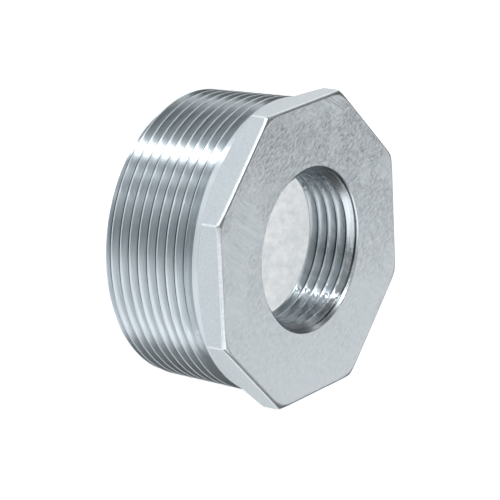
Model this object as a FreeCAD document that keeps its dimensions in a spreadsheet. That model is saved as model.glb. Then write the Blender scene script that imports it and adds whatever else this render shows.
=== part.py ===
"""A pipe bushing, 2 inch male by 1 inch female, with an eight-sided head.

One solid piece of stainless steel. Its frame: the axis is Z, the threaded
end rests on Z = 0, the head is on top and its face looks up.
Lengths are in millimetres and angles in degrees.
"""
import FreeCAD, Part
import os
import sys

import Sketcher

SIDES = 8
HALF_STEP = 180 / SIDES
AXIS = "0"
TOUCH = 1e-6
THREAD_SHARE = 0.01
UP = FreeCAD.Vector(0, 0, 1)
YZ = FreeCAD.Rotation(FreeCAD.Vector(1, 1, 1), 120)

# The driving dimensions, each with the word that the expressions use for it.
SIZES = (
    ("total_length", 29.5, "threaded end to face"),
    ("head_length", 7.25, "face to shoulder"),
    ("across_flats", 60.0, "wrench size of the head"),
    ("corner_cut", 0.8, "corner to the start of the turned chamfer, along the face"),
    ("face_angle", 30.0, "corner chamfer, measured from the face"),
    ("edge_break", 0.45, "small chamfer along the face's straight edges"),
    ("neck_step", 0.03, "thread crest at the shoulder to the plain round neck"),
    ("neck_length", 1.45, "neck, from the shoulder to the back of the head"),
    ("back_angle", 32.0, "turned back of the head, measured from the face"),
    ("tip_diameter", 58.4, "thread crest at the end of the shank"),
    ("taper_angle", 1.79, "half angle of the 1 in 16 taper"),
    ("tip_chamfer", 0.7, "chamfer at the end of the shank"),
    ("pitch", 2.309, "11 threads per inch"),
    ("thread_depth", 1.479, "crest to root"),
    ("root_width", 0.385, "flat at the bottom of the thread groove"),
    ("flank_angle", 27.5, "half of the thread's 55 degrees"),
    ("thread_lead", 2.34, "start of the thread groove, below the end of the shank"),
    ("thread_clear", 0.15, "how far the groove's section reaches outside the crest"),
    ("relief_width", 1.95, "groove that the thread runs into, at its mouth"),
    ("relief_extra", 0.12, "how much deeper the relief is than the thread"),
    ("relief_angle", 12.0, "slope of the relief's two sides"),
    ("port_diameter", 30.3, "tapping size of the port, the crest of its thread"),
    ("port_length", 11.6, "face to the roof of the cavity"),
    ("mouth_diameter", 33.7, "countersink at the face"),
    ("mouth_angle", 45.0, "countersink, measured from the face"),
    ("cavity_diameter", 45.4, "cored cavity at its roof"),
    ("cavity_draft", 2.0, "the cavity widens to the open end by this angle"),
    ("roof_slope", 2.0, "45 degree slope between the cavity's roof and its wall"),
)

# Heights and radii that follow from them, written as expressions.
FACE = "sizes.total_length"
SHOULDER = "(sizes.total_length - sizes.head_length)"
NECK_TOP = f"({SHOULDER} + sizes.neck_length)"
TIP = "(sizes.tip_diameter / 2)"
PORT = "(sizes.port_diameter / 2)"
MOUTH = "(sizes.mouth_diameter / 2)"
ROOF = f"({FACE} - sizes.port_length)"
FLAT = "(sizes.across_flats / 2)"
FACE_CIRCLE = f"({FLAT} / cos({HALF_STEP}) - sizes.corner_cut)"
OUTSIDE = "sizes.across_flats"
RELIEF_MIDDLE = f"({SHOULDER} - sizes.relief_width / 2)"


def crest(height):
    """The radius of the tapered crest at a height, as an expression."""
    return f"({TIP} + {height} * tan(sizes.taper_angle))"


NECK = f"({crest(SHOULDER)} + sizes.neck_step)"


def make_sizes(doc):
    """The sheet that holds the driving dimensions."""
    sheet = doc.addObject("Spreadsheet::Sheet", "sizes")
    for row, (alias, value, note) in enumerate(SIZES, start=1):
        sheet.set(f"A{row}", note)
        sheet.set(f"B{row}", str(value))
        sheet.setAlias(f"B{row}", alias)
    doc.recompute()
    return sheet


def origin_plane(body, role):
    """One of the body's own origin planes."""
    return next(p for p in body.Origin.OriginFeatures if p.Role == role)


def outline(body, name, role, corners):
    """A closed outline on one of the body's origin planes."""
    sketch = body.newObject("Sketcher::SketchObject", name)
    sketch.AttachmentSupport = (origin_plane(body, role), [""])
    sketch.MapMode = "FlatFace"
    draw(sketch, corners)
    return sketch


def draw(sketch, corners):
    """Draw a closed outline of straight lines.

    Each corner is a pair of expressions, and both are dimensions of the
    sketch, so that the outline follows the sheet.
    """
    sizes = sketch.Document.getObject("sizes")
    spots = [
        FreeCAD.Vector(float(sizes.evalExpression(x)), float(sizes.evalExpression(y)), 0)
        for x, y in corners
    ]
    count = len(spots)
    for i in range(count):
        sketch.addGeometry(Part.LineSegment(spots[i], spots[(i + 1) % count]), False)
    for i in range(count):
        sketch.addConstraint(Sketcher.Constraint("Coincident", i, 2, (i + 1) % count, 1))
    for i, (x, y) in enumerate(corners):
        if x == AXIS:
            sketch.addConstraint(Sketcher.Constraint("PointOnObject", i, 1, -2))
        else:
            dimension(sketch, "DistanceX", i, spots[i].x, x)
        dimension(sketch, "DistanceY", i, spots[i].y, y)


def dimension(sketch, kind, corner, value, expression):
    """Place the start of a line by its distance from the origin."""
    index = sketch.addConstraint(Sketcher.Constraint(kind, -1, 1, corner, 1, value))
    sketch.setExpression(f"Constraints[{index}]", expression)


def turn(body, kind, name, corners):
    """Turn an outline round the axis: Revolution adds it, Groove cuts it."""
    sketch = outline(body, f"{name}_outline", "XZ_Plane", corners)
    feature = body.newObject(f"PartDesign::{kind}", name)
    feature.Profile = sketch
    feature.ReferenceAxis = (sketch, ["V_Axis"])
    feature.Angle = 360
    body.Document.recompute()
    return feature


def add_shank(body):
    """The tapered shank, chamfered at its end."""
    return turn(body, "Revolution", "shank", [
        (AXIS, "0"),
        (f"{TIP} - sizes.tip_chamfer", "0"),
        (crest("sizes.tip_chamfer"), "sizes.tip_chamfer"),
        (crest(SHOULDER), SHOULDER),
        (AXIS, SHOULDER),
    ])


def add_head(body):
    """The eight-sided head, with one flat square to X."""
    side = f"({FLAT} * tan({HALF_STEP}))"
    corners = [
        (FLAT, f"-{side}"), (FLAT, side), (side, FLAT), (f"-{side}", FLAT),
        (f"-{FLAT}", side), (f"-{FLAT}", f"-{side}"), (f"-{side}", f"-{FLAT}"), (side, f"-{FLAT}"),
    ]
    sketch = outline(body, "head_outline", "XY_Plane", corners)
    sketch.setExpression(".AttachmentOffset.Base.z", SHOULDER)
    head = body.newObject("PartDesign::Pad", "head")
    head.Profile = sketch
    head.setExpression("Length", "sizes.head_length")
    body.Document.recompute()
    return head


def turn_face_corners(body):
    """The corners of the face, turned off to a circle."""
    drop = f"({OUTSIDE} - {FACE_CIRCLE}) * tan(sizes.face_angle)"
    return turn(body, "Groove", "face_corners", [
        (FACE_CIRCLE, FACE),
        (OUTSIDE, f"{FACE} - {drop}"),
        (OUTSIDE, FACE),
    ])


def turn_head_back(body):
    """The round neck and the turned back of the head above it."""
    rise = f"({OUTSIDE} - {NECK}) * tan(sizes.back_angle)"
    return turn(body, "Groove", "head_back", [
        (NECK, SHOULDER),
        (OUTSIDE, SHOULDER),
        (OUTSIDE, f"{NECK_TOP} + {rise}"),
        (NECK, NECK_TOP),
    ])


def break_face_edges(body, sheet):
    """A small chamfer along the straight edges of the face."""
    base = body.Tip
    face = sheet.total_length
    edges = [
        f"Edge{i}"
        for i, edge in enumerate(base.Shape.Edges, start=1)
        if isinstance(edge.Curve, Part.Line) and all(abs(v.Z - face) < TOUCH for v in edge.Vertexes)
    ]
    chamfer = body.newObject("PartDesign::Chamfer", "face_edges")
    chamfer.Base = (base, edges)
    chamfer.setExpression("Size", "sizes.edge_break")
    body.Document.recompute()
    return chamfer


def cut_port(body):
    """The port, its countersink and the cored cavity behind it."""
    wall = "(sizes.cavity_diameter / 2)"
    slope_end = f"({ROOF} - sizes.roof_slope)"
    return turn(body, "Groove", "port", [
        (AXIS, "0"),
        (AXIS, FACE),
        (MOUTH, FACE),
        (PORT, f"{FACE} - ({MOUTH} - {PORT}) * tan(sizes.mouth_angle)"),
        (PORT, ROOF),
        (f"{wall} - sizes.roof_slope", ROOF),
        (wall, slope_end),
        (f"{wall} + {slope_end} * tan(sizes.cavity_draft)", "0"),
    ])


def cut_relief(body):
    """The turned groove at the shoulder, which the thread runs into."""
    bottom = f"({crest(RELIEF_MIDDLE)} - sizes.thread_depth - sizes.relief_extra)"
    spread = "(sizes.thread_depth + sizes.relief_extra) * tan(sizes.relief_angle)"
    half_bottom = f"(sizes.relief_width / 2 - {spread})"
    return turn(body, "Groove", "relief", [
        (bottom, f"{RELIEF_MIDDLE} - {half_bottom}"),
        (bottom, f"{RELIEF_MIDDLE} + {half_bottom}"),
        (NECK, SHOULDER),
        (NECK, f"{SHOULDER} - sizes.relief_width"),
    ])


def cut_thread(doc, body):
    """The tapered right-hand thread, one helical groove cut from the shank.

    The groove starts below the end of the shank, on the +Y side, and ends
    inside the relief.
    """
    start = "-sizes.thread_lead"
    path = doc.addObject("Part::Helix", "thread_path")
    path.Style = "New style"
    path.SegmentLength = 1
    path.setExpression("Pitch", "sizes.pitch")
    path.setExpression("Height", f"{RELIEF_MIDDLE} + sizes.thread_lead")
    path.setExpression("Radius", crest(start))
    path.setExpression("Angle", "sizes.taper_angle")
    path.setExpression(".Placement.Base.z", start)
    path.Placement = FreeCAD.Placement(FreeCAD.Vector(), FreeCAD.Rotation(UP, 90))

    root = f"({crest(start)} - sizes.thread_depth)"
    mouth = f"({crest(start)} + sizes.thread_clear)"
    half_root = "(sizes.root_width / 2)"
    half_mouth = f"({half_root} + (sizes.thread_depth + sizes.thread_clear) * tan(sizes.flank_angle))"
    section = doc.addObject("Sketcher::SketchObject", "thread_section")
    section.Placement = FreeCAD.Placement(FreeCAD.Vector(), YZ)
    draw(section, [
        (root, f"{start} - {half_root}"),
        (mouth, f"{start} - {half_mouth}"),
        (mouth, f"{start} + {half_mouth}"),
        (root, f"{start} + {half_root}"),
    ])
    doc.recompute()

    groove = doc.addObject("Part::Sweep", "thread_groove")
    groove.Sections = [section]
    groove.Spine = (path, [f"Edge{i + 1}" for i in range(len(path.Shape.Edges))])
    groove.Solid = True
    groove.Frenet = True

    threaded = doc.addObject("Part::Cut", "bushing")
    threaded.Base = body
    threaded.Tool = groove
    doc.recompute()
    return threaded


def check(doc, blank, piece):
    """Stop with a plain message where a feature or the solid has failed."""
    failed = [o.Name for o in doc.Objects if {"Invalid", "Error"} & set(o.State)]
    if failed:
        sys.exit(f"failed features: {failed}")
    shape = piece.Shape
    if shape.isNull() or not shape.isValid() or len(shape.Solids) != 1:
        sys.exit(f"{piece.Label} is not one valid solid")
    if blank.Shape.Volume - shape.Volume < THREAD_SHARE * blank.Shape.Volume:
        sys.exit("the thread has cut nothing")


def build():
    """Model the bushing and write its solid."""
    doc = FreeCAD.newDocument("pipe_bushing")
    sheet = make_sizes(doc)
    blank = doc.addObject("PartDesign::Body", "blank")
    add_shank(blank)
    add_head(blank)
    turn_face_corners(blank)
    turn_head_back(blank)
    break_face_edges(blank, sheet)
    cut_port(blank)
    cut_relief(blank)
    bushing = cut_thread(doc, blank)
    bushing.Label = "bushing"
    bushing.Placement = FreeCAD.Placement()
    doc.recompute()
    check(doc, blank, bushing)
    os.makedirs("parts", exist_ok=True)
    bushing.Shape.exportStep(f"parts/{bushing.Label}.step")
    print(f"{bushing.Label}: {bushing.Shape.Volume / 1000:.2f} cm3")


if __name__ == "__main__":
    build()
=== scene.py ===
"""A stainless steel pipe bushing with an eight-sided head, as its studio picture shows it.

The part's axis is Z, its open threaded end stands on Z = 0 and its face looks up.
Sizes are in millimetres in the classes and in metres in the scene.
"""

import logging
import math
from dataclasses import dataclass
from enum import Enum

import bpy
import numpy as np
from mathutils import Matrix, Vector

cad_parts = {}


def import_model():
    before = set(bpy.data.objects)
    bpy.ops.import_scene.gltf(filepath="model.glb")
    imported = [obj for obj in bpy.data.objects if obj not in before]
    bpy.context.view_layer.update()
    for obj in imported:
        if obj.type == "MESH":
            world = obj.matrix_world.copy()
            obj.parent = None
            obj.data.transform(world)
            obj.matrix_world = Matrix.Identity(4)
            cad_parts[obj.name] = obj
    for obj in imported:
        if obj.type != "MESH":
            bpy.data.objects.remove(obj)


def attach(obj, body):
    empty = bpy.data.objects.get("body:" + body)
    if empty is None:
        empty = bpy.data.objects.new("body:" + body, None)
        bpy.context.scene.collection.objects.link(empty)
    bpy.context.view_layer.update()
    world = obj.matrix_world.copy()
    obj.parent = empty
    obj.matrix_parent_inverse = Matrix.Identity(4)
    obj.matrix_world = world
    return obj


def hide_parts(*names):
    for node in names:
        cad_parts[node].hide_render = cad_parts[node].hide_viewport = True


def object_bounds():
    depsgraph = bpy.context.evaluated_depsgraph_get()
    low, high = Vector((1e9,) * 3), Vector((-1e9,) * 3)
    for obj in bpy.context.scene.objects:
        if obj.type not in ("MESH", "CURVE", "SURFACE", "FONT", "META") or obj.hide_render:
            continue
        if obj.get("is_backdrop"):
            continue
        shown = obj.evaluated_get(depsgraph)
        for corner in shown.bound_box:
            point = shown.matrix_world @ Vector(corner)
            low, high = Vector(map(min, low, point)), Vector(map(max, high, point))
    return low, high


log = logging.getLogger("bushing")

MM = 0.001
BODY = "root"
NODE = "bushing"
SENSOR_MM = 36.0
SIDES = 8
HALF_SIDE = math.pi / SIDES
TURN = 2 * math.pi
# Slack for rounding where two heights, radii or angles are compared.
WELD = 1e-7
SHARP_ANGLE = math.radians(38)


class Zone(Enum):
    """A part of the surface with a finish of its own; the value is its material's place.

    TURNED is the shank, its relief, the neck and the back of the head. ROOT is the
    bottom of both threads, EDGE the broken edge round the face with the corners of
    the flats, PORT the thread in the port and MOUTH the countersink before it.
    """

    FACE = 0
    FLATS = 1
    TURNED = 2
    CAVITY = 3
    ROOT = 4
    EDGE = 5
    PORT = 6
    MOUTH = 7


@dataclass(frozen=True)
class ThreadSize:
    """A pipe thread with a 55 degree profile, and the chamfer at one of its ends.

    Attributes:
        crest: radius over the crest at z = 0.
        slope: growth of that radius for each mm of height.
        low: height of the lower end.
        high: height of the upper end.
        crest_at: height of one crest over the +X axis.
        inside: True for a thread cut in a bore.
        chamfer_radius: radius of the chamfer where it ends.
        chamfer_height: height at which it ends.
        pitch: distance from crest to crest.
        depth: height of the profile.
    """

    crest: float
    slope: float
    low: float
    high: float
    crest_at: float
    inside: bool
    chamfer_radius: float
    chamfer_height: float
    pitch: float = 2.309
    depth: float = 1.479


@dataclass(frozen=True)
class HeadSize:
    """The eight-sided head with the round neck under it.

    Attributes:
        flat: distance from the axis to a flat.
        face: height of the face.
        shoulder: height of the neck's lower end.
        neck_radius: radius of the neck.
        neck_top: height at which the neck meets the turned back of the head.
        back_angle: rise of that back, in degrees.
        corner_radius: rounding of the corners between the flats.
        corner_cut: how much of each corner of the face is turned off.
        corner_angle: slope of that cut, in degrees from the face.
        edge_break: width of the rounded edge along the flats.
        mouth_radius: radius of the port's countersink at the face.
    """

    flat: float = 30.0
    face: float = 29.5
    shoulder: float = 22.25
    neck_radius: float = 29.92
    neck_top: float = 23.7
    back_angle: float = 32.0
    corner_radius: float = 0.5
    corner_cut: float = 1.6
    corner_angle: float = 30.0
    edge_break: float = 0.65
    mouth_radius: float = 16.85


@dataclass(frozen=True)
class CavitySize:
    """The cored cavity behind the port.

    Attributes:
        roof: height of its roof, where the port's thread ends.
        radius: its radius at the roof.
        fillet: radius of the fillet round the roof.
        draft: taper of its wall, in degrees.
        rim_height: height of the chamfer at the open end.
        rim_width: width of that chamfer.
    """

    roof: float = 17.9
    radius: float = 22.7
    fillet: float = 2.0
    draft: float = 2.0
    rim_height: float = 0.3
    rim_width: float = 0.25


@dataclass(frozen=True)
class ReliefSize:
    """The turned groove between the thread and the shoulder.

    Attributes:
        low: height of its lower end, where the thread stops.
        bottom: radius of its bottom.
        low_side: height of its lower side.
        high_side: height of its upper side.
    """

    low: float = 20.3
    bottom: float = 28.27
    low_side: float = 0.8
    high_side: float = 0.34


HEAD = HeadSize()
CAVITY = CavitySize()
RELIEF = ReliefSize()
# The port's thread and its chamfer end this far under the face.
MOUTH_DEPTH = 0.1
# A tapered pipe thread grows by 1 in 16 on its diameter, which is half of that on its radius.
TAPER = 1 / 32
SHANK_THREAD = ThreadSize(
    crest=29.2, slope=TAPER, low=0.0, high=RELIEF.low, crest_at=0.55, inside=False,
    chamfer_radius=28.5, chamfer_height=0.0,
)
PORT_THREAD = ThreadSize(
    crest=15.15, slope=0.0, low=CAVITY.roof, high=HEAD.face - MOUTH_DEPTH, crest_at=2.13, inside=True,
    chamfer_radius=HEAD.mouth_radius - MOUTH_DEPTH, chamfer_height=HEAD.face - MOUTH_DEPTH,
)


class Shell:
    """One closed skin, made ring by ring along its profile.

    The profile goes up the outside, across the face, down the bore and back
    along the open end, and every ring has one point over each angle.
    """

    def __init__(self, angles: np.ndarray, corners: np.ndarray) -> None:
        """Start an empty skin.

        Args:
            angles: the angles of the columns, from 0 up to a full turn.
            corners: True for each column that starts a face on a rounded corner of the flats.
        """
        self.angles = angles
        self.corners = corners
        self.cosines = np.cos(angles)
        self.sines = np.sin(angles)
        self.points: list[tuple[float, float, float]] = []
        self.faces: list[tuple[int, ...]] = []
        self.zones: list[int] = []

    def point(self, column: int, radius: float, height: float) -> int:
        """Add one point over a column's angle.

        Args:
            column: the place of the angle.
            radius: distance from the axis.
            height: height over the open end.

        Returns:
            The number of the new point.
        """
        self.points.append((radius * self.cosines[column], radius * self.sines[column], height))
        return len(self.points) - 1

    def ring(self, radius: np.ndarray | float, height: np.ndarray | float) -> list[int]:
        """Add a ring of points.

        Args:
            radius: one radius, or one for each column.
            height: one height, or one for each column.

        Returns:
            The numbers of its points.
        """
        radii = np.broadcast_to(radius, self.angles.shape)
        heights = np.broadcast_to(height, self.angles.shape)
        return [self.point(c, radii[c], heights[c]) for c in range(len(self.angles))]

    def face(self, corners: list[int], zone: Zone) -> None:
        """Add a face, leaving out corners that are the same point.

        Args:
            corners: the numbers of its points, anticlockwise from outside.
            zone: the finish.
        """
        distinct = list(dict.fromkeys(corners))
        if len(distinct) > 2:
            self.faces.append(tuple(distinct))
            self.zones.append(zone.value)

    def strip(self, first: list[int], second: list[int], zone: Zone) -> None:
        """Join two rings that follow each other along the profile.

        Args:
            first: the ring that comes first.
            second: the ring after it.
            zone: the finish between them.
        """
        count = len(first)
        for c in range(count):
            n = (c + 1) % count
            # Corners of the flats get the edge's finish, which is painted paler as a painted highlight.
            rubbed = zone is Zone.FLATS and self.corners[c]
            self.face([first[c], first[n], second[n], second[c]], Zone.EDGE if rubbed else zone)

    def run(self, start: list[int], rings: list[list[int]], zone: Zone) -> list[int]:
        """Join a row of rings, one after the other.

        Args:
            start: the ring that they follow.
            rings: the rings, in their order along the profile.
            zone: the finish of the whole row.

        Returns:
            The last ring.
        """
        for ring in rings:
            self.strip(start, ring, zone)
            start = ring
        return start

    def mesh(self, name: str) -> bpy.types.Mesh:
        """Turn the skin into a mesh.

        Args:
            name: the mesh's name.

        Returns:
            The mesh, smooth with sharp edges where it turns hard.
        """
        mesh = bpy.data.meshes.new(name)
        mesh.from_pydata([tuple(c * MM for c in p) for p in self.points], [], self.faces)
        mesh.polygons.foreach_set("material_index", self.zones)
        mesh.validate()
        mesh.shade_smooth()
        mesh.set_sharp_from_angle(angle=SHARP_ANGLE)
        return mesh


class Thread:
    """A helical thread whose rows of points follow its crest and its root."""

    # Half of the profile: along the axis from the groove's middle, and depth under the crest.
    HALF_PROFILE = (
        (0.0, 1.479), (0.105, 1.461), (0.2, 1.408), (0.2812, 1.3084), (0.577, 0.74),
        (0.8733, 0.1706), (0.955, 0.0707), (1.05, 0.0177), (1.1545, 0.0),
    )
    # Distance from the groove's middle within which a face belongs to the root, which is painted dark as
    # painted shade.
    ROOT_REACH = 0.29

    def __init__(self, shell: Shell, size: ThreadSize) -> None:
        """Add the thread's points to the skin.

        Args:
            shell: the skin that the thread belongs to.
            size: its dimensions.
        """
        self.shell = shell
        self.size = size
        self.half_offsets, self.half_depths = np.array(self.HALF_PROFILE).T
        self.offsets = np.concatenate([-self.half_offsets[-2:0:-1], self.half_offsets])
        self.chamfered: set[int] = set()
        turns = math.ceil((size.high - size.low) / size.pitch) + 3
        self.rows = turns * len(self.offsets)
        self.columns = [self._column(c) for c in range(len(shell.angles))]

    def _groove(self, angle: np.ndarray | float) -> np.ndarray | float:
        """Give the height of a groove's middle over an angle.

        Args:
            angle: one angle or many.

        Returns:
            The height, which is right within a whole number of pitches.
        """
        return self.size.crest_at + self.size.pitch * (angle / TURN + 0.5)

    def radius(self, angle: np.ndarray | float, height: np.ndarray) -> np.ndarray:
        """Give the radius of the thread's surface before it is chamfered.

        Args:
            angle: the angle round the axis.
            height: the heights.

        Returns:
            The radius at each height.
        """
        size = self.size
        along = (height - self._groove(angle) + size.pitch / 2) % size.pitch - size.pitch / 2
        depth = np.interp(np.abs(along), self.half_offsets, self.half_depths)
        return size.crest + size.slope * height + (depth if size.inside else -depth)

    def _chamfer(self, height: np.ndarray | float) -> np.ndarray | float:
        """Give the radius of the chamfer's cone.

        Args:
            height: the heights.

        Returns:
            The radius at each height.
        """
        return self.size.chamfer_radius + (height - self.size.chamfer_height)

    def _trim(self, heights: np.ndarray, radii: np.ndarray) -> None:
        """Move the points that the chamfer cuts away onto its cone.

        The first and last point of each row that is cut away go to where the
        profile meets the cone, so that the edge between them stays clean.

        Args:
            heights: the column's heights, which are changed.
            radii: its radii, which are changed.
        """
        excess = radii - self._chamfer(heights)
        if self.size.inside:
            excess = -excess
        cut = excess > 0
        start = 0
        while start < len(cut):
            if not cut[start]:
                start += 1
                continue
            end = start
            while end + 1 < len(cut) and cut[end + 1]:
                end += 1
            ends = [heights[start], heights[end]]
            if start > 0:
                share = excess[start - 1] / (excess[start - 1] - excess[start])
                ends[0] = heights[start - 1] + share * (heights[start] - heights[start - 1])
            if end + 1 < len(cut):
                share = excess[end + 1] / (excess[end + 1] - excess[end])
                ends[1] = heights[end + 1] + share * (heights[end] - heights[end + 1])
            heights[start:end + 1] = np.linspace(*ends, end + 1 - start)
            radii[start:end + 1] = self._chamfer(heights[start:end + 1])
            start = end + 1

    def _column(self, column: int) -> tuple[int, list[int]]:
        """Add the points over one angle.

        Args:
            column: the place of the angle.

        Returns:
            The first row between the two ends, and the numbers of the points
            from the lower end to the upper one.
        """
        size = self.size
        angle = self.shell.angles[column]
        lowest = self._groove(0.0) - (self._groove(0.0) - size.low) // size.pitch * size.pitch
        turns = np.arange(self.rows // len(self.offsets)) - 2
        every = lowest + size.pitch * (angle / TURN + turns[:, None]) + self.offsets[None, :]
        every = every.ravel()
        between = np.flatnonzero((every > size.low + WELD) & (every < size.high - WELD))
        heights = np.concatenate([[size.low], every[between], [size.high]])
        radii = self.radius(angle, heights)
        self._trim(heights, radii)
        ids = [self.shell.point(column, r, z) for r, z in zip(radii, heights)]
        on_cone = np.abs(radii - self._chamfer(heights)) < WELD
        self.chamfered.update(ids[i] for i in np.flatnonzero(on_cone))
        return int(between[0]), ids

    def _at(self, column: int, row: int) -> int:
        """Find the point of a row over a column.

        Args:
            column: the column; one past the last is the first again, a pitch on.
            row: the row.

        Returns:
            The number of the point; rows past an end give the end's point.
        """
        if column == len(self.columns):
            column = 0
            row += len(self.offsets)
        first, ids = self.columns[column]
        return ids[min(max(row - first + 1, 0), len(ids) - 1)]

    def _zone(self, row: int, corners: list[int]) -> Zone:
        """Tell the finish of the chamfer, the root, and the flanks with the crest.

        Args:
            row: the lower of the two rows that a face lies between.
            corners: the numbers of the face's points.

        Returns:
            The finish.
        """
        if self.chamfered.issuperset(corners):
            return Zone.MOUTH if self.size.inside else Zone.TURNED
        ends = [self.offsets[r % len(self.offsets)] for r in (row, row + 1)]
        if max(map(abs, ends)) < self.ROOT_REACH:
            return Zone.ROOT
        return Zone.PORT if self.size.inside else Zone.TURNED

    def build(self) -> None:
        """Add the faces between the rows."""
        for c in range(len(self.columns)):
            for row in range(-1, self.rows):
                low, high = (row + 1, row) if self.size.inside else (row, row + 1)
                corners = [self._at(*at) for at in ((c, low), (c + 1, low), (c + 1, high), (c, high))]
                self.shell.face(corners, self._zone(row, corners))

    def low_ring(self) -> list[int]:
        """Give the points at the lower end.

        Returns:
            Their numbers.
        """
        return [ids[0] for _, ids in self.columns]

    def high_ring(self) -> list[int]:
        """Give the points at the upper end.

        Returns:
            Their numbers.
        """
        return [ids[-1] for _, ids in self.columns]


class Head:
    """The relief, the neck and the eight-sided head up to the mouth of the port."""

    # Steps along the rounded edge of the face, from the flats to the face.
    ARC = (0.12, 0.3, 0.5, 0.7, 0.88, 1.0)
    # Roundings where the back meets the flats, in the groove's corners and on the neck's edge.
    FILLET = 0.12
    CORNER = 0.06
    NECK_EDGE = 0.1
    # Distance from an edge to the ring that keeps the surface beside it flat.
    SUPPORT = 0.2
    # Rounding of the mouth's edge, and depth of the ring on the countersink under it.
    MOUTH_EDGE = 0.06
    MOUTH_STEP = 0.05

    def __init__(self, shell: Shell, size: HeadSize, relief: ReliefSize) -> None:
        """Keep what the head is built from.

        Args:
            shell: the skin that the head belongs to.
            size: the head's dimensions.
            relief: those of the groove under it.
        """
        self.shell = shell
        self.size = size
        self.relief = relief

    def outline(self) -> np.ndarray:
        """Give the radius of the octagon, with its corners slightly rounded.

        Returns:
            The radius over each column.
        """
        size = self.size
        from_flat = (self.shell.angles + HALF_SIDE) % (2 * HALF_SIDE) - HALF_SIDE
        sharp = size.flat / np.cos(from_flat)
        centre = (size.flat - size.corner_radius) / math.cos(HALF_SIDE)
        from_corner = HALF_SIDE - np.abs(from_flat)
        inside = size.corner_radius**2 - (centre * np.sin(from_corner)) ** 2
        rounded = centre * np.cos(from_corner) + np.sqrt(np.maximum(inside, 0.0))
        reach = math.atan2(
            size.corner_radius * math.sin(HALF_SIDE),
            centre + size.corner_radius * math.cos(HALF_SIDE),
        )
        return np.where(from_corner < reach, rounded, sharp)

    def build(self, start: list[int]) -> list[int]:
        """Add the rings from the end of the thread to the mouth of the port.

        Args:
            start: the ring at the end of the thread.

        Returns:
            The ring at the mouth, on the countersink.
        """
        start = self._relief_and_neck(start)
        outer = self.outline()
        start = self._flats(start, outer)
        return self._face(start, outer)

    def _relief_and_neck(self, start: list[int]) -> list[int]:
        """Add the turned groove and the neck.

        Args:
            start: the ring at the end of the thread.

        Returns:
            The ring at the top of the neck.
        """
        size, relief, ring = self.size, self.relief, self.shell.ring
        corner, edge = self.CORNER, self.NECK_EDGE
        low = relief.low + relief.low_side
        high = size.shoulder - relief.high_side
        return self.shell.run(start, [
            ring(relief.bottom + corner, low - corner / 2),
            ring(relief.bottom, low + corner),
            ring(relief.bottom, high - corner),
            ring(relief.bottom + corner, high + corner / 2),
            ring(size.neck_radius - edge, size.shoulder - 0.3 * edge),
            ring(size.neck_radius - 0.3 * edge, size.shoulder + 0.2 * edge),
            ring(size.neck_radius, size.shoulder + edge),
            ring(size.neck_radius, size.neck_top - edge),
        ], Zone.TURNED)

    def _flats(self, start: list[int], outer: np.ndarray) -> list[int]:
        """Add the turned back of the head and its eight flats.

        Args:
            start: the ring at the top of the neck.
            outer: the radius of the octagon over each column.

        Returns:
            The ring at the top of the flats.
        """
        size, ring = self.size, self.shell.ring
        rise = math.tan(math.radians(size.back_angle))
        width = outer - size.neck_radius
        back_end = size.neck_top + width * rise
        fillet = np.minimum(self.FILLET, 0.4 * width)
        start = self.shell.run(start, [
            ring(size.neck_radius + 0.1 * width, size.neck_top + 0.1 * width * rise),
            ring(outer - fillet, size.neck_top + (width - fillet) * rise),
        ], Zone.TURNED)
        top = size.face - self._inset(outer)[1]
        return self.shell.run(start, [
            ring(outer - 0.3 * fillet, back_end + 0.1 * fillet),
            ring(outer, back_end + 0.8 * fillet),
            ring(outer, back_end + 0.8 * fillet + self.SUPPORT),
            ring(outer, top - self.SUPPORT),
            ring(outer, top),
        ], Zone.FLATS)

    def _inset(self, outer: np.ndarray) -> tuple[np.ndarray, np.ndarray]:
        """Give how far the broken edge reaches over the face and down the flats.

        Args:
            outer: the radius of the octagon over each column.

        Returns:
            The reach across the face and the reach along the flats.
        """
        size = self.size
        from_flat = (self.shell.angles + HALF_SIDE) % (2 * HALF_SIDE) - HALF_SIDE
        circle = size.flat / math.cos(HALF_SIDE) - size.corner_cut
        across = np.maximum(size.edge_break / np.cos(from_flat), outer - circle)
        down = np.maximum(size.edge_break, (outer - circle) * math.tan(math.radians(size.corner_angle)))
        return across, down

    def _face(self, start: list[int], outer: np.ndarray) -> list[int]:
        """Add the rounded edge of the face, the face and the edge of the mouth.

        Args:
            start: the ring at the top of the flats.
            outer: the radius of the octagon over each column.

        Returns:
            The ring at the mouth, on the countersink.
        """
        size, ring = self.size, self.shell.ring
        across, down = self._inset(outer)
        edge = [ring(outer - across * t * t, size.face - down * (1 - t) ** 2) for t in self.ARC]
        start = self.shell.run(start, edge, Zone.EDGE)
        mouth = size.mouth_radius
        return self.shell.run(start, [
            ring(outer - across - self.SUPPORT, size.face),
            ring((outer + mouth) / 2, size.face),
            ring(mouth + self.SUPPORT, size.face),
            ring(mouth + self.MOUTH_EDGE, size.face),
            ring(mouth, size.face - self.MOUTH_EDGE / 4),
            ring(mouth - self.MOUTH_STEP, size.face - self.MOUTH_STEP),
        ], Zone.FACE)


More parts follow.
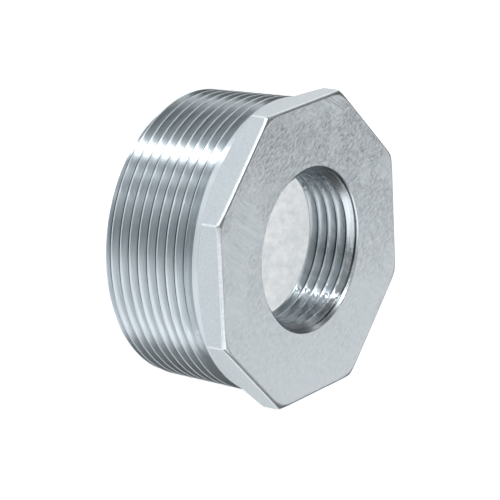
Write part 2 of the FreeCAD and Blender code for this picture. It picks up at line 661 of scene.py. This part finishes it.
class Cavity:
    """The cored cavity, from the end of the port's thread to the open end."""

    FILLET_STEPS = 6
    # Distances to the rings that keep the roof and the wall flat beside the fillet and the rim.
    ROOF_SUPPORT = 1.0
    RIM_SUPPORT = 0.01

    def __init__(self, shell: Shell, size: CavitySize) -> None:
        """Keep what the cavity is built from.

        Args:
            shell: the skin that the cavity belongs to.
            size: its dimensions.
        """
        self.shell = shell
        self.size = size

    def build(self, start: list[int]) -> list[int]:
        """Add the roof, its fillet and the drafted wall.

        Args:
            start: the ring at the inner end of the port.

        Returns:
            The ring at the open end.
        """
        size, ring = self.size, self.shell.ring
        edge = size.radius - size.fillet
        rings = [ring(edge - self.ROOF_SUPPORT, size.roof)]
        for i in range(self.FILLET_STEPS + 1):
            turn = math.pi / 2 * i / self.FILLET_STEPS
            drop = size.fillet * (1 - math.cos(turn))
            rings.append(ring(edge + size.fillet * math.sin(turn), size.roof - drop))
        wide = size.radius + (size.roof - size.fillet) * math.tan(math.radians(size.draft))
        rings.append(ring(wide - self.RIM_SUPPORT, size.rim_height))
        rings.append(ring(wide + size.rim_width, 0.0))
        return self.shell.run(start, rings, Zone.CAVITY)


class Bushing:
    """The whole bushing: one closed mesh with eight finishes."""

    COARSE_COLUMNS = 288
    # Columns beside each corner of the flats, in degrees from it.
    CORNER_STEPS = (0.12, 0.24, 0.36)

    def __init__(self) -> None:
        """Build the skin from its sub-assemblies."""
        angles = self._angles()
        from_corner = np.degrees(angles) % math.degrees(2 * HALF_SIDE) - math.degrees(HALF_SIDE)
        widest = self.CORNER_STEPS[-1]
        corners = (from_corner > -widest - WELD) & (from_corner < widest - WELD)
        shell = Shell(angles, corners)
        shank = Thread(shell, SHANK_THREAD)
        shank.build()
        mouth = Head(shell, HEAD, RELIEF).build(shank.high_ring())
        port = Thread(shell, PORT_THREAD)
        shell.strip(mouth, port.high_ring(), Zone.MOUTH)
        port.build()
        end = Cavity(shell, CAVITY).build(port.low_ring())
        shell.strip(end, shank.low_ring(), Zone.TURNED)
        self.shell = shell

    def _angles(self) -> np.ndarray:
        """Give the angles of the columns, closer together at the corners of the head.

        Returns:
            The angles, in order.
        """
        angles = {round(360 * i / self.COARSE_COLUMNS, 6) for i in range(self.COARSE_COLUMNS)}
        for side in range(SIDES):
            corner = math.degrees(HALF_SIDE) * (2 * side + 1)
            for step in self.CORNER_STEPS:
                angles |= {round(corner - step, 6), round(corner + step, 6)}
        return np.radians(sorted(angles))

    def place(self, materials: list[bpy.types.Material]) -> bpy.types.Object:
        """Put the bushing into the scene in place of its CAD solid.

        Args:
            materials: one for each zone, in the zones' order.

        Returns:
            The new object.
        """
        mesh = self.shell.mesh("bushing_visual")
        for material in materials:
            mesh.materials.append(material)
        piece = bpy.data.objects.new("bushing_visual", mesh)
        bpy.context.scene.collection.objects.link(piece)
        even = piece.modifiers.new("even_flanks", "WEIGHTED_NORMAL")
        even.keep_sharp = True
        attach(piece, BODY)
        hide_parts(NODE)
        return piece


def linear(hex_colour: str) -> tuple[float, float, float, float]:
    """Turn an sRGB hex colour into Blender's linear colour.

    Args:
        hex_colour: six hex digits after a #.

    Returns:
        Red, green, blue and an alpha of 1.
    """
    parts = [int(hex_colour[i:i + 2], 16) / 255 for i in (1, 3, 5)]
    return tuple(p / 12.92 if p <= 0.04045 else ((p + 0.055) / 1.055) ** 2.4 for p in parts) + (1.0,)


def add_node(
    tree: bpy.types.NodeTree, kind: str, settings: dict | None = None, links: dict | None = None,
) -> bpy.types.Node:
    """Add a node with its settings and its incoming links.

    Args:
        tree: the node tree.
        kind: the node's Blender type.
        settings: properties by name, and values of inputs by name or number.
        links: outputs of other nodes, for inputs by name or number.

    Returns:
        The node.
    """
    node = tree.nodes.new(kind)
    for key, value in (settings or {}).items():
        if isinstance(key, int) or (key in node.inputs and not hasattr(node, key)):
            node.inputs[key].default_value = value
        else:
            setattr(node, key, value)
    for key, output in (links or {}).items():
        tree.links.new(output, node.inputs[key])
    return node


@dataclass(frozen=True)
class Finish:
    """The look of bare stainless steel after one way of making its surface.

    Attributes:
        name: the steel and how its surface was made.
        dark: colour of its darker spots.
        pale: colour of its paler spots.
        polished: roughness of its smoother spots.
        dull: roughness of its duller spots.
        relief_mm: height of its relief.
        anisotropy: how much more it scatters across its turned rings than along them.
        rings_from: level of a noise above which the rings are still sharp; 0 where they
            are sharp everywhere.
    """

    name: str
    dark: str
    pale: str
    polished: float
    dull: float
    relief_mm: float
    anisotropy: float = 0.0
    rings_from: float = 0.0


class Steel:
    """Bare stainless steel whose colour, gloss and relief follow one pattern.

    Here the pattern is the faint grain of the edge round the face and of the flats' corners, which
    handling has rubbed and which is painted paler as a painted highlight.
    """

    # Sizes in mm: the grain, and the patches in which turned rings are worn off.
    GRAIN = 0.5
    WORN_PATCH = 0.5
    # Step of the noise over which a worn patch fades out.
    WORN_EDGE = 0.02
    # Turns the wide side of the highlight from round the axis to along it.
    ALONG_AXIS = 0.25

    def __init__(self, finish: Finish) -> None:
        """Start an empty material.

        Args:
            finish: its colours, gloss and relief.
        """
        self.finish = finish
        self.material = bpy.data.materials.new(finish.name)
        self.material.use_nodes = True
        self.tree = self.material.node_tree
        self.tree.nodes.clear()
        self.place = add_node(self.tree, "ShaderNodeTexCoord").outputs["Object"]

    def noise(
        self, size_mm: float, detail: float, place: bpy.types.NodeSocket | None = None,
    ) -> bpy.types.NodeSocket:
        """Add a noise.

        Args:
            size_mm: size of its largest spots.
            detail: how many finer layers it has.
            place: where it is read, or None for the point on the object.

        Returns:
            Its strength, from 0 to 1.
        """
        settings = {"Scale": 1 / (size_mm * MM), "Detail": detail, "Roughness": 0.6}
        links = {"Vector": place or self.place}
        return add_node(self.tree, "ShaderNodeTexNoise", settings, links).outputs[0]

    def sharpen(self, value: bpy.types.NodeSocket, low: float, high: float) -> bpy.types.NodeSocket:
        """Stretch a noise so that it reaches from 0 to 1.

        Args:
            value: the noise.
            low: what becomes 0.
            high: what becomes 1.

        Returns:
            The stretched noise.
        """
        settings = {"From Min": low, "From Max": high}
        return add_node(self.tree, "ShaderNodeMapRange", settings, {"Value": value}).outputs[0]

    def pattern(self) -> bpy.types.NodeSocket:
        """Add the pattern of the surface.

        Returns:
            Its strength, from 0 to 1.
        """
        return self.sharpen(self.noise(self.GRAIN, 4.0), 0.3, 0.7)

    def build(self) -> bpy.types.Material:
        """Join the pattern to the colour, the gloss and the relief.

        Returns:
            The material.
        """
        finish, tree = self.finish, self.tree
        pattern = self.pattern()
        colours = {"data_type": "RGBA", 6: linear(finish.dark), 7: linear(finish.pale)}
        colour = add_node(tree, "ShaderNodeMix", colours, {0: pattern})
        ends = {"To Min": finish.dull, "To Max": finish.polished}
        gloss = add_node(tree, "ShaderNodeMapRange", ends, {"Value": pattern})
        relief = add_node(tree, "ShaderNodeBump", {"Distance": finish.relief_mm * MM}, {"Height": pattern})
        settings = {"Metallic": 1.0, "Anisotropic": finish.anisotropy}
        links = {
            "Base Color": colour.outputs[2], "Roughness": gloss.outputs[0], "Normal": relief.outputs[0],
        }
        if finish.anisotropy:
            around = add_node(tree, "ShaderNodeTangent", {"direction_type": "RADIAL", "axis": "Z"})
            settings["Anisotropic Rotation"] = self.ALONG_AXIS
            links["Tangent"] = around.outputs[0]
        if finish.rings_from:
            low, high = finish.rings_from - self.WORN_EDGE, finish.rings_from + self.WORN_EDGE
            links["Anisotropic"] = self.sharpen(self.noise(self.WORN_PATCH, 1.0), low, high)
        shader = add_node(tree, "ShaderNodeBsdfPrincipled", settings, links)
        add_node(tree, "ShaderNodeOutputMaterial", None, {"Surface": shader.outputs[0]})
        return self.material


class GroundSteel(Steel):
    """The face: a leathery grain with patches of slanting belt marks, both fading over the face."""

    # Belt scratches are about 0.1 mm wide; they and the grain are drawn wider, to show at all.
    GRAIN = 0.6
    GRAIN_ANGLE = 75.0
    GRAIN_LENGTH = 2.0
    MARK = 0.26
    MARK_ANGLE = 9.5
    MARK_LENGTH = 14.0
    PATCH = 12.0
    # Direction over the face, up the camera's view, in which the grain and the marks grow deeper and
    # darker on average, and where that starts and ends.
    DEEPER = (-0.5, 0.86, 0.0)
    DEEPENS_FROM = -26 * MM
    DEEPENS_TO = 22 * MM
    # Range of the pattern where the grain is faintest.
    SHALLOW = (0.48, 0.76)

    def stretch(self, angle: float, length: float) -> bpy.types.NodeSocket:
        """Stretch the place where a pattern is read, so that its spots grow long.

        Args:
            angle: the direction of the length, in degrees from +X.
            length: how many times longer than wide the spots become.

        Returns:
            The stretched place.
        """
        settings = {
            "vector_type": "TEXTURE",
            "Rotation": (0.0, 0.0, math.radians(angle)),
            "Scale": (length, 1.0, 1.0),
        }
        return add_node(self.tree, "ShaderNodeMapping", settings, {"Vector": self.place}).outputs[0]

    def mix(
        self, share: bpy.types.NodeSocket, first: bpy.types.NodeSocket, second: bpy.types.NodeSocket,
    ) -> bpy.types.NodeSocket:
        """Mix two patterns.

        Args:
            share: how much of the second is in the mix.
            first: the pattern for a share of 0.
            second: the pattern for a share of 1.

        Returns:
            The mix.
        """
        links = {0: share, 2: first, 3: second}
        return add_node(self.tree, "ShaderNodeMix", {"data_type": "FLOAT"}, links).outputs[0]

    def pattern(self) -> bpy.types.NodeSocket:
        """Add the grain and the belt marks.

        Returns:
            Its strength, from 0 to 1.
        """
        grain_place = self.stretch(self.GRAIN_ANGLE, self.GRAIN_LENGTH)
        grain = self.sharpen(self.noise(self.GRAIN, 3.0, grain_place), 0.25, 0.75)
        mark_place = self.stretch(self.MARK_ANGLE, self.MARK_LENGTH)
        marks = self.noise(self.MARK, 1.0, mark_place)
        patches = self.sharpen(self.noise(self.PATCH, 1.0), 0.54, 0.68)
        deep = self.mix(patches, grain, marks)
        ends = dict(zip(("To Min", "To Max"), self.SHALLOW))
        shallow = add_node(self.tree, "ShaderNodeMapRange", ends, {"Value": deep}).outputs[0]
        settings = {"operation": "DOT_PRODUCT", 1: self.DEEPER}
        along = add_node(self.tree, "ShaderNodeVectorMath", settings, {0: self.place})
        deepening = self.sharpen(along.outputs["Value"], self.DEEPENS_FROM, self.DEEPENS_TO)
        return self.mix(deepening, shallow, deep)


class CastSteel(Steel):
    """The flats: the sandy skin of the casting, rubbed to a satin gloss."""

    # Width of a grain of moulding sand, in mm.
    GRAIN = 0.35

    def pattern(self) -> bpy.types.NodeSocket:
        """Add the sandy grain.

        Returns:
            Its strength, from 0 to 1.
        """
        return self.sharpen(self.noise(self.GRAIN, 2.0), 0.2, 0.8)


class TurnedSteel(Steel):
    """Threads, neck and countersink: rings left by the cutting tool, which spread light along the axis."""

    # A finishing cut leaves rings under 0.1 mm apart; they are drawn coarser, to show at all.
    RINGS = 0.16

    def pattern(self) -> bpy.types.NodeSocket:
        """Add the rings, which depend on the height and the radius alone.

        Returns:
            Its strength, from 0 to 1.
        """
        settings = {"operation": "MULTIPLY", 1: (1.0, 1.0, 0.0)}
        flat = add_node(self.tree, "ShaderNodeVectorMath", settings, {0: self.place})
        radius = add_node(self.tree, "ShaderNodeVectorMath", {"operation": "LENGTH"}, {0: flat.outputs[0]})
        height = add_node(self.tree, "ShaderNodeSeparateXYZ", None, {0: self.place})
        links = {"X": radius.outputs["Value"], "Z": height.outputs["Z"]}
        section = add_node(self.tree, "ShaderNodeCombineXYZ", None, links)
        return self.sharpen(self.noise(self.RINGS, 1.0, section.outputs[0]), 0.3, 0.7)


class BlastedSteel(Steel):
    """The cavity: the casting's skin after shot blasting, blotchy with no direction, and pale, partly as
    painted light.
    """

    # Width of a blotch, in mm: a few dents of the shot side by side.
    BLOTCH = 1.6

    def pattern(self) -> bpy.types.NodeSocket:
        """Add soft blotches with finer grain.

        Returns:
            Its strength, from 0 to 1.
        """
        return self.sharpen(self.noise(self.BLOTCH, 5.0), 0.3, 0.7)


def make_finishes() -> list[bpy.types.Material]:
    """Make the eight finishes.

    Returns:
        The materials, in the order of the zones.
    """
    steels = {
        # Ground on a belt: mid grey, dull, and broken up by its grain.
        Zone.FACE: GroundSteel(Finish("ground_stainless_steel", "#A6AFB5", "#DAE0E4", 0.28, 0.4, 0.085)),
        # Cast and rubbed: an even, silky grey.
        Zone.FLATS: CastSteel(
            Finish("satin_cast_stainless_steel", "#ACB4B9", "#BFC7CC", 0.34, 0.44, 0.006)
        ),
        # Turned: each lamp becomes a band along the axis.
        Zone.TURNED: TurnedSteel(
            Finish("turned_stainless_steel", "#BEC7CC", "#D3DADF", 0.3, 0.34, 0.02, 1.0)
        ),
        # Cast and shot blasted, which makes it dull and somewhat pale, and lifted to white by painted
        # light where the cavity, closed by the floor, gets little light: the palest and dullest part.
        Zone.CAVITY: BlastedSteel(
            Finish("blasted_painted_light_stainless_steel", "#EAEEF0", "#FFFFFF", 0.5, 0.62, 0.02)
        ),
        # Turned, with the root painted dark as painted shade: the dark line between two threads.
        Zone.ROOT: TurnedSteel(
            Finish("root_painted_shade_turned_steel", "#5F676C", "#767F85", 0.34, 0.4, 0.02, 1.0)
        ),
        # Rubbed by handling, which makes it glossier, and painted paler as a painted highlight: the
        # brightest line round the face.
        Zone.EDGE: Steel(Finish("rubbed_painted_highlight_stainless_steel", "#C6CDD2", "#DDE3E6", 0.32, 0.38, 0.002)),
        # Tapped, with its rings torn in places: bands that break up into sparkles.
        Zone.PORT: TurnedSteel(
            Finish("tapped_stainless_steel", "#BEC7CC", "#D3DADF", 0.34, 0.4, 0.01, 1.0, 0.48)
        ),
        # Countersunk in one cut: the glossiest part, which mirrors light and dark sides.
        Zone.MOUTH: TurnedSteel(
            Finish("countersunk_stainless_steel", "#BEC7CC", "#D3DADF", 0.26, 0.3, 0.004)
        ),
    }
    return [steels[zone].build() for zone in Zone]


@dataclass(frozen=True)
class Softbox:
    """A soft studio lamp, placed by the directions in which the bushing sees it.

    A direction is an azimuth, from +X round the axis, and an elevation over
    the floor, in degrees.

    Attributes:
        name: what it is for.
        centre: direction of its middle.
        end: direction of the middle of one of its two ends.
        width: width across, in degrees.
        brightness: its brightness, where white paper in full light is 1.
        distance: distance from the bushing in metres.
    """

    name: str
    centre: tuple[float, float]
    end: tuple[float, float]
    width: float
    brightness: float
    distance: float = 1.0

    @staticmethod
    def _toward(direction: tuple[float, float]) -> Vector:
        """Turn a direction into a vector.

        Args:
            direction: azimuth and elevation in degrees.

        Returns:
            The vector, of length 1.
        """
        azimuth, elevation = map(math.radians, direction)
        flat = math.cos(elevation)
        return Vector((math.cos(azimuth) * flat, math.sin(azimuth) * flat, math.sin(elevation)))

    def place(self) -> bpy.types.Object:
        """Put the lamp into the scene.

        Returns:
            The lamp.
        """
        back = self._toward(self.centre)
        end = self._toward(self.end)
        along = (end - back * end.dot(back)).normalized()
        light = bpy.data.lights.new(self.name, "AREA")
        light.shape = "RECTANGLE"
        light.size = 2 * self.distance * math.tan(math.radians(self.width / 2))
        light.size_y = 2 * self.distance * math.tan(back.angle(end))
        light.energy = self.brightness * light.size * light.size_y * math.pi
        lamp = bpy.data.objects.new(self.name, light)
        turn = Matrix((along.cross(back), along, back)).transposed()
        lamp.matrix_world = Matrix.Translation(back * self.distance) @ turn.to_4x4()
        bpy.context.scene.collection.objects.link(lamp)
        return lamp


# The steel shows each lamp where it mirrors it to the camera, and the comments say where that is.
SOFTBOXES = (
    # The white band along the shank and the port.
    Softbox("strip", (144.2, 27), (148.5, 4), 5.6, 20.0),
    # Hairlines in that band and below it.
    Softbox("line_left", (165, 32), (168, 4), 1.2, 8.0),
    Softbox("line_right", (184, 32), (185, 4), 1.0, 6.0),
    # The grey middle of the shank.
    Softbox("middle", (182, 18), (182, 4), 36, 0.95),
    # The pale half of the shank, the neck and the upper wall of the port.
    Softbox("side", (267, 34), (267, 4), 62, 1.4),
    # The shank above the band.
    Softbox("crown", (136, 38), (136, 4), 9, 0.6),
    # The uppermost flat.
    Softbox("edge", (84, 27), (92, 5), 8, 1.2),
    # The lower right of the countersink and the crests in the middle of the shank.
    Softbox("front", (199, 68), (199, 56), 22, 0.5),
    # The palest wall of the port and the flats on the left.
    Softbox("top", (325, 64), (325, 45), 34, 1.5),
    # The face and the upper right of the countersink.
    Softbox("face", (25, 35), (40, 35), 28, 1.2),
)

# Directions of the picture's right, of its top and from the bushing to the camera.
CAMERA_RIGHT = (0.44447228, 0.38440516, 0.80912117)
CAMERA_UP = (-0.50039633, 0.85572642, -0.13166552)
CAMERA_BACK = (-0.74299926, -0.34635958, 0.57270161)
CAMERA_PLACE = (-0.52066, -0.24489, 0.41681)
CAMERA_LENS_MM = 251.03
CAMERA_REACH = 20.0

FLOOR_RADIUS = 4.0
FLOOR_SIDES = 64
PAPER = "#F0F0F0"
PAPER_GLOW = 0.5
ROOM_LIGHT = 0.06


def make_camera() -> bpy.types.Object:
    """Put the camera where the picture was taken from.

    Returns:
        The camera, which is the scene's camera.
    """
    data = bpy.data.cameras.new("camera")
    data.sensor_width = SENSOR_MM
    data.lens = CAMERA_LENS_MM
    data.clip_end = CAMERA_REACH
    camera = bpy.data.objects.new("camera", data)
    place = Matrix((CAMERA_RIGHT, CAMERA_UP, CAMERA_BACK)).transposed().to_4x4()
    place.translation = Vector(CAMERA_PLACE)
    camera.matrix_world = place
    bpy.context.scene.collection.objects.link(camera)
    bpy.context.scene.camera = camera
    return camera


def make_paper() -> bpy.types.Material:
    """Make the floor's paper, which looks white to the camera and in the steel.

    Returns:
        The material.
    """
    material = bpy.data.materials.new("white_paper")
    material.use_nodes = True
    tree = material.node_tree
    tree.nodes.clear()
    rays = add_node(tree, "ShaderNodeLightPath").outputs
    either = {"operation": "MAXIMUM"}
    direct = {0: rays["Is Camera Ray"], 1: rays["Is Glossy Ray"]}
    seen = add_node(tree, "ShaderNodeMath", either, direct)
    through = {0: seen.outputs[0], 1: rays["Is Transmission Ray"]}
    seen = add_node(tree, "ShaderNodeMath", either, through)
    paper = add_node(tree, "ShaderNodeBsdfDiffuse", {"Color": linear(PAPER)})
    glow = add_node(tree, "ShaderNodeEmission", {"Strength": PAPER_GLOW})
    both = add_node(tree, "ShaderNodeAddShader", None, {0: paper.outputs[0], 1: glow.outputs[0]})
    choice = {0: seen.outputs[0], 1: paper.outputs[0], 2: both.outputs[0]}
    mixed = add_node(tree, "ShaderNodeMixShader", None, choice)
    add_node(tree, "ShaderNodeOutputMaterial", None, {"Surface": mixed.outputs[0]})
    return material


def make_floor() -> bpy.types.Object:
    """Put a wide white floor under the bushing.

    Returns:
        The floor.
    """
    turns = [TURN * i / FLOOR_SIDES for i in range(FLOOR_SIDES)]
    ring = [(FLOOR_RADIUS * math.cos(turn), FLOOR_RADIUS * math.sin(turn), 0.0) for turn in turns]
    mesh = bpy.data.meshes.new("floor")
    mesh.from_pydata(ring, [], [tuple(range(FLOOR_SIDES))])
    mesh.materials.append(make_paper())
    floor = bpy.data.objects.new("floor", mesh)
    bpy.context.scene.collection.objects.link(floor)
    floor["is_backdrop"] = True
    return floor


def make_room() -> bpy.types.World:
    """Fill the room with faint white light.

    Returns:
        The scene's world.
    """
    world = bpy.data.worlds.new("room")
    world.use_nodes = True
    background = world.node_tree.nodes["Background"].inputs
    background["Color"].default_value = linear("#FFFFFF")
    background["Strength"].default_value = ROOM_LIGHT
    bpy.context.scene.world = world
    return world


def main() -> None:
    """Build the bushing, its finishes, the studio and the camera."""
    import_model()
    solid_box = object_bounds()
    bushing = Bushing().place(make_finishes())
    bushing.data.calc_loop_triangles()
    log.info("%s: %d triangles", bushing.name, len(bushing.data.loop_triangles))
    stage = [make_floor(), make_camera()]
    stage += [box.place() for box in SOFTBOXES]
    for piece in stage:
        log.info("%s: in place", piece.name)
    room = make_room()
    log.info("%s: light of %.2f", room.name, ROOM_LIGHT)
    bpy.context.scene.view_settings.view_transform = "Standard"
    boxes = [[list(corner) for corner in box] for box in (solid_box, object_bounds())]


if __name__ == "__main__":
    logging.basicConfig(level=logging.INFO, format="%(name)s: %(message)s")
    main()
